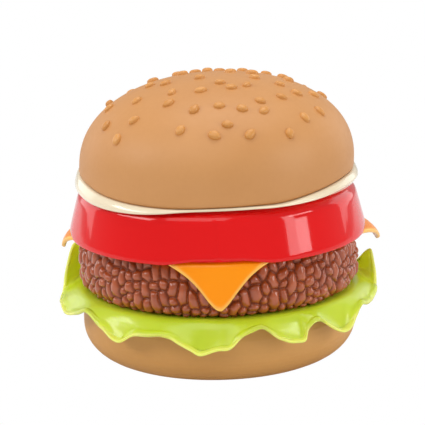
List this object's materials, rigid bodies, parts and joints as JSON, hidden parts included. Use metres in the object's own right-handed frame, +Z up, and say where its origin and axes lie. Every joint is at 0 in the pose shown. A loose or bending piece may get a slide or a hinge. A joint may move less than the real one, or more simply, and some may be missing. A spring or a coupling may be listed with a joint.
{
  "type": "novelty shaped telephone",
  "caption": "Clamshell telephone shaped like a hamburger; the seeded top bun hinges up as the earpiece over a push-button keypad in the burger.",
  "frame": {"origin": "centre of the bounding box in plan, at the level the rubber feet stand on", "axes": "+Z up; -Y is the front edge that opens, +Y the hinge side; +X to the right seen from the front"},
  "size_m": [0.1431, 0.1393, 0.1239],
  "materials": {
    "bun_tan": "matt moulded crust",
    "cream": "gloss",
    "tomato_red": "high gloss",
    "cheese_yellow": "gloss",
    "patty_brown": "satin, moulded strands",
    "lettuce_green": "gloss, flexible",
    "key_ivory": "semi gloss",
    "hook_black": "satin",
    "slider_black": "satin",
    "jack_grey": "satin",
    "contact_gold": "plated",
    "steel": "zinc plated",
    "receiver_black": "matt",
    "cone_film": "thin film",
    "magnet_grey": "dull",
    "white_nylon": "satin",
    "foam": "open foam",
    "black_rubber": "matt",
    "mat_grey": "silicone",
    "board_green": "lacquered",
    "chip_black": "matt",
    "capacitor_blue": "sleeved",
    "transformer_yellow": "taped",
    "ringer_white": "satin",
    "wire_red": "insulation",
    "wire_grey": "insulation"
  },
  "bodies": {
    "base": {"ballast_screws": "steel", "ballast_weight": "steel", "board_screws": "steel", "bottom_bun_shell": "bun_tan", "bridge_diodes": "chip_black", "case_screws": "steel", "cheese_slice": "cheese_yellow", "circuit_board": "board_green", "dialer_chip": "chip_black", "filter_capacitors": "capacitor_blue", "hinge_lead": "wire_red", "hinge_pin": "steel", "hook_spring": "steel", "hook_switch_body": "hook_black", "jack_contacts": "contact_gold", "keypad_mat": "mat_grey", "lettuce_leaf": "lettuce_green", "line_jack": "jack_grey", "line_lead": "wire_grey", "line_transformer": "transformer_yellow", "microphone_capsule": "steel", "microphone_grommet": "black_rubber", "microphone_lead": "wire_grey", "patty_shell": "patty_brown", "ringer_disc": "contact_gold", "ringer_lead": "wire_grey", "ringer_ring": "ringer_white", "ringer_volume_switch": "hook_black", "rubber_feet": "black_rubber", "speech_chip": "chip_black", "tomato_housing": "tomato_red", "tone_pulse_switch": "hook_black"},
    "lid": {"top_bun_shell": "bun_tan", "earpiece_plate": "cream", "lid_screws": "steel", "receiver_gasket": "foam", "receiver_frame": "receiver_black", "receiver_diaphragm": "cone_film", "receiver_magnet": "magnet_grey", "receiver_clamp": "white_nylon", "receiver_screws": "steel", "receiver_lead": "wire_red"},
    "hook": {"hook_plunger": "hook_black"},
    "tone_pulse": {"tone_pulse_slider": "slider_black"},
    "ringer_volume": {"ringer_volume_slider": "slider_black"},
    "key_0": {"key_0": "key_ivory"},
    "key_1": {"key_1": "key_ivory"},
    "key_2": {"key_2": "key_ivory"},
    "key_3": {"key_3": "key_ivory"},
    "key_4": {"key_4": "key_ivory"},
    "key_5": {"key_5": "key_ivory"},
    "key_6": {"key_6": "key_ivory"},
    "key_7": {"key_7": "key_ivory"},
    "key_8": {"key_8": "key_ivory"},
    "key_9": {"key_9": "key_ivory"},
    "key_flash": {"key_flash": "key_ivory"},
    "key_hash": {"key_hash": "key_ivory"},
    "key_redial": {"key_redial": "key_ivory"},
    "key_star": {"key_star": "key_ivory"}
  },
  "joints": [
    {"name": "lid_hinge", "type": "hinge", "parent": "base", "child": "lid", "pos_m": [0, 0.0655, 0.077], "axis": [-1, 0, 0], "range_deg": [0, 125]},
    {"name": "hook_lift", "type": "slide", "parent": "base", "child": "hook", "axis": [0, 0, 1], "range_m": [0, 0.0026], "deforming": ["hook_spring"]},
    {"name": "tone_pulse_slide", "type": "slide", "parent": "base", "child": "tone_pulse", "axis": [0.866, -0.5, 0], "range_m": [0, 0.0032]},
    {"name": "ringer_volume_slide", "type": "slide", "parent": "base", "child": "ringer_volume", "axis": [0.866, 0.5, 0], "range_m": [0, 0.0032]},
    {"name": "key_0_press", "type": "slide", "parent": "base", "child": "key_0", "axis": [0, 0, -1], "range_m": [0, 0.0012], "stiffness_N_per_m": 400, "springref_m": -0.00125},
    {"name": "key_1_press", "type": "slide", "parent": "base", "child": "key_1", "axis": [0, 0, -1], "range_m": [0, 0.0012], "stiffness_N_per_m": 400, "springref_m": -0.00125},
    {"name": "key_2_press", "type": "slide", "parent": "base", "child": "key_2", "axis": [0, 0, -1], "range_m": [0, 0.0012], "stiffness_N_per_m": 400, "springref_m": -0.00125},
    {"name": "key_3_press", "type": "slide", "parent": "base", "child": "key_3", "axis": [0, 0, -1], "range_m": [0, 0.0012], "stiffness_N_per_m": 400, "springref_m": -0.00125},
    {"name": "key_4_press", "type": "slide", "parent": "base", "child": "key_4", "axis": [0, 0, -1], "range_m": [0, 0.0012], "stiffness_N_per_m": 400, "springref_m": -0.00125},
    {"name": "key_5_press", "type": "slide", "parent": "base", "child": "key_5", "axis": [0, 0, -1], "range_m": [0, 0.0012], "stiffness_N_per_m": 400, "springref_m": -0.00125},
    {"name": "key_6_press", "type": "slide", "parent": "base", "child": "key_6", "axis": [0, 0, -1], "range_m": [0, 0.0012], "stiffness_N_per_m": 400, "springref_m": -0.00125},
    {"name": "key_7_press", "type": "slide", "parent": "base", "child": "key_7", "axis": [0, 0, -1], "range_m": [0, 0.0012], "stiffness_N_per_m": 400, "springref_m": -0.00125},
    {"name": "key_8_press", "type": "slide", "parent": "base", "child": "key_8", "axis": [0, 0, -1], "range_m": [0, 0.0012], "stiffness_N_per_m": 400, "springref_m": -0.00125},
    {"name": "key_9_press", "type": "slide", "parent": "base", "child": "key_9", "axis": [0, 0, -1], "range_m": [0, 0.0012], "stiffness_N_per_m": 400, "springref_m": -0.00125},
    {"name": "key_flash_press", "type": "slide", "parent": "base", "child": "key_flash", "axis": [0, 0, -1], "range_m": [0, 0.0012], "stiffness_N_per_m": 400, "springref_m": -0.00125},
    {"name": "key_hash_press", "type": "slide", "parent": "base", "child": "key_hash", "axis": [0, 0, -1], "range_m": [0, 0.0012], "stiffness_N_per_m": 400, "springref_m": -0.00125},
    {"name": "key_redial_press", "type": "slide", "parent": "base", "child": "key_redial", "axis": [0, 0, -1], "range_m": [0, 0.0012], "stiffness_N_per_m": 400, "springref_m": -0.00125},
    {"name": "key_star_press", "type": "slide", "parent": "base", "child": "key_star", "axis": [0, 0, -1], "range_m": [0, 0.0012], "stiffness_N_per_m": 400, "springref_m": -0.00125}
  ],
  "couplings": [
    {"joint": "hook_lift", "follows": "lid_hinge", "m_per_rad": 0.001146}
  ]
}
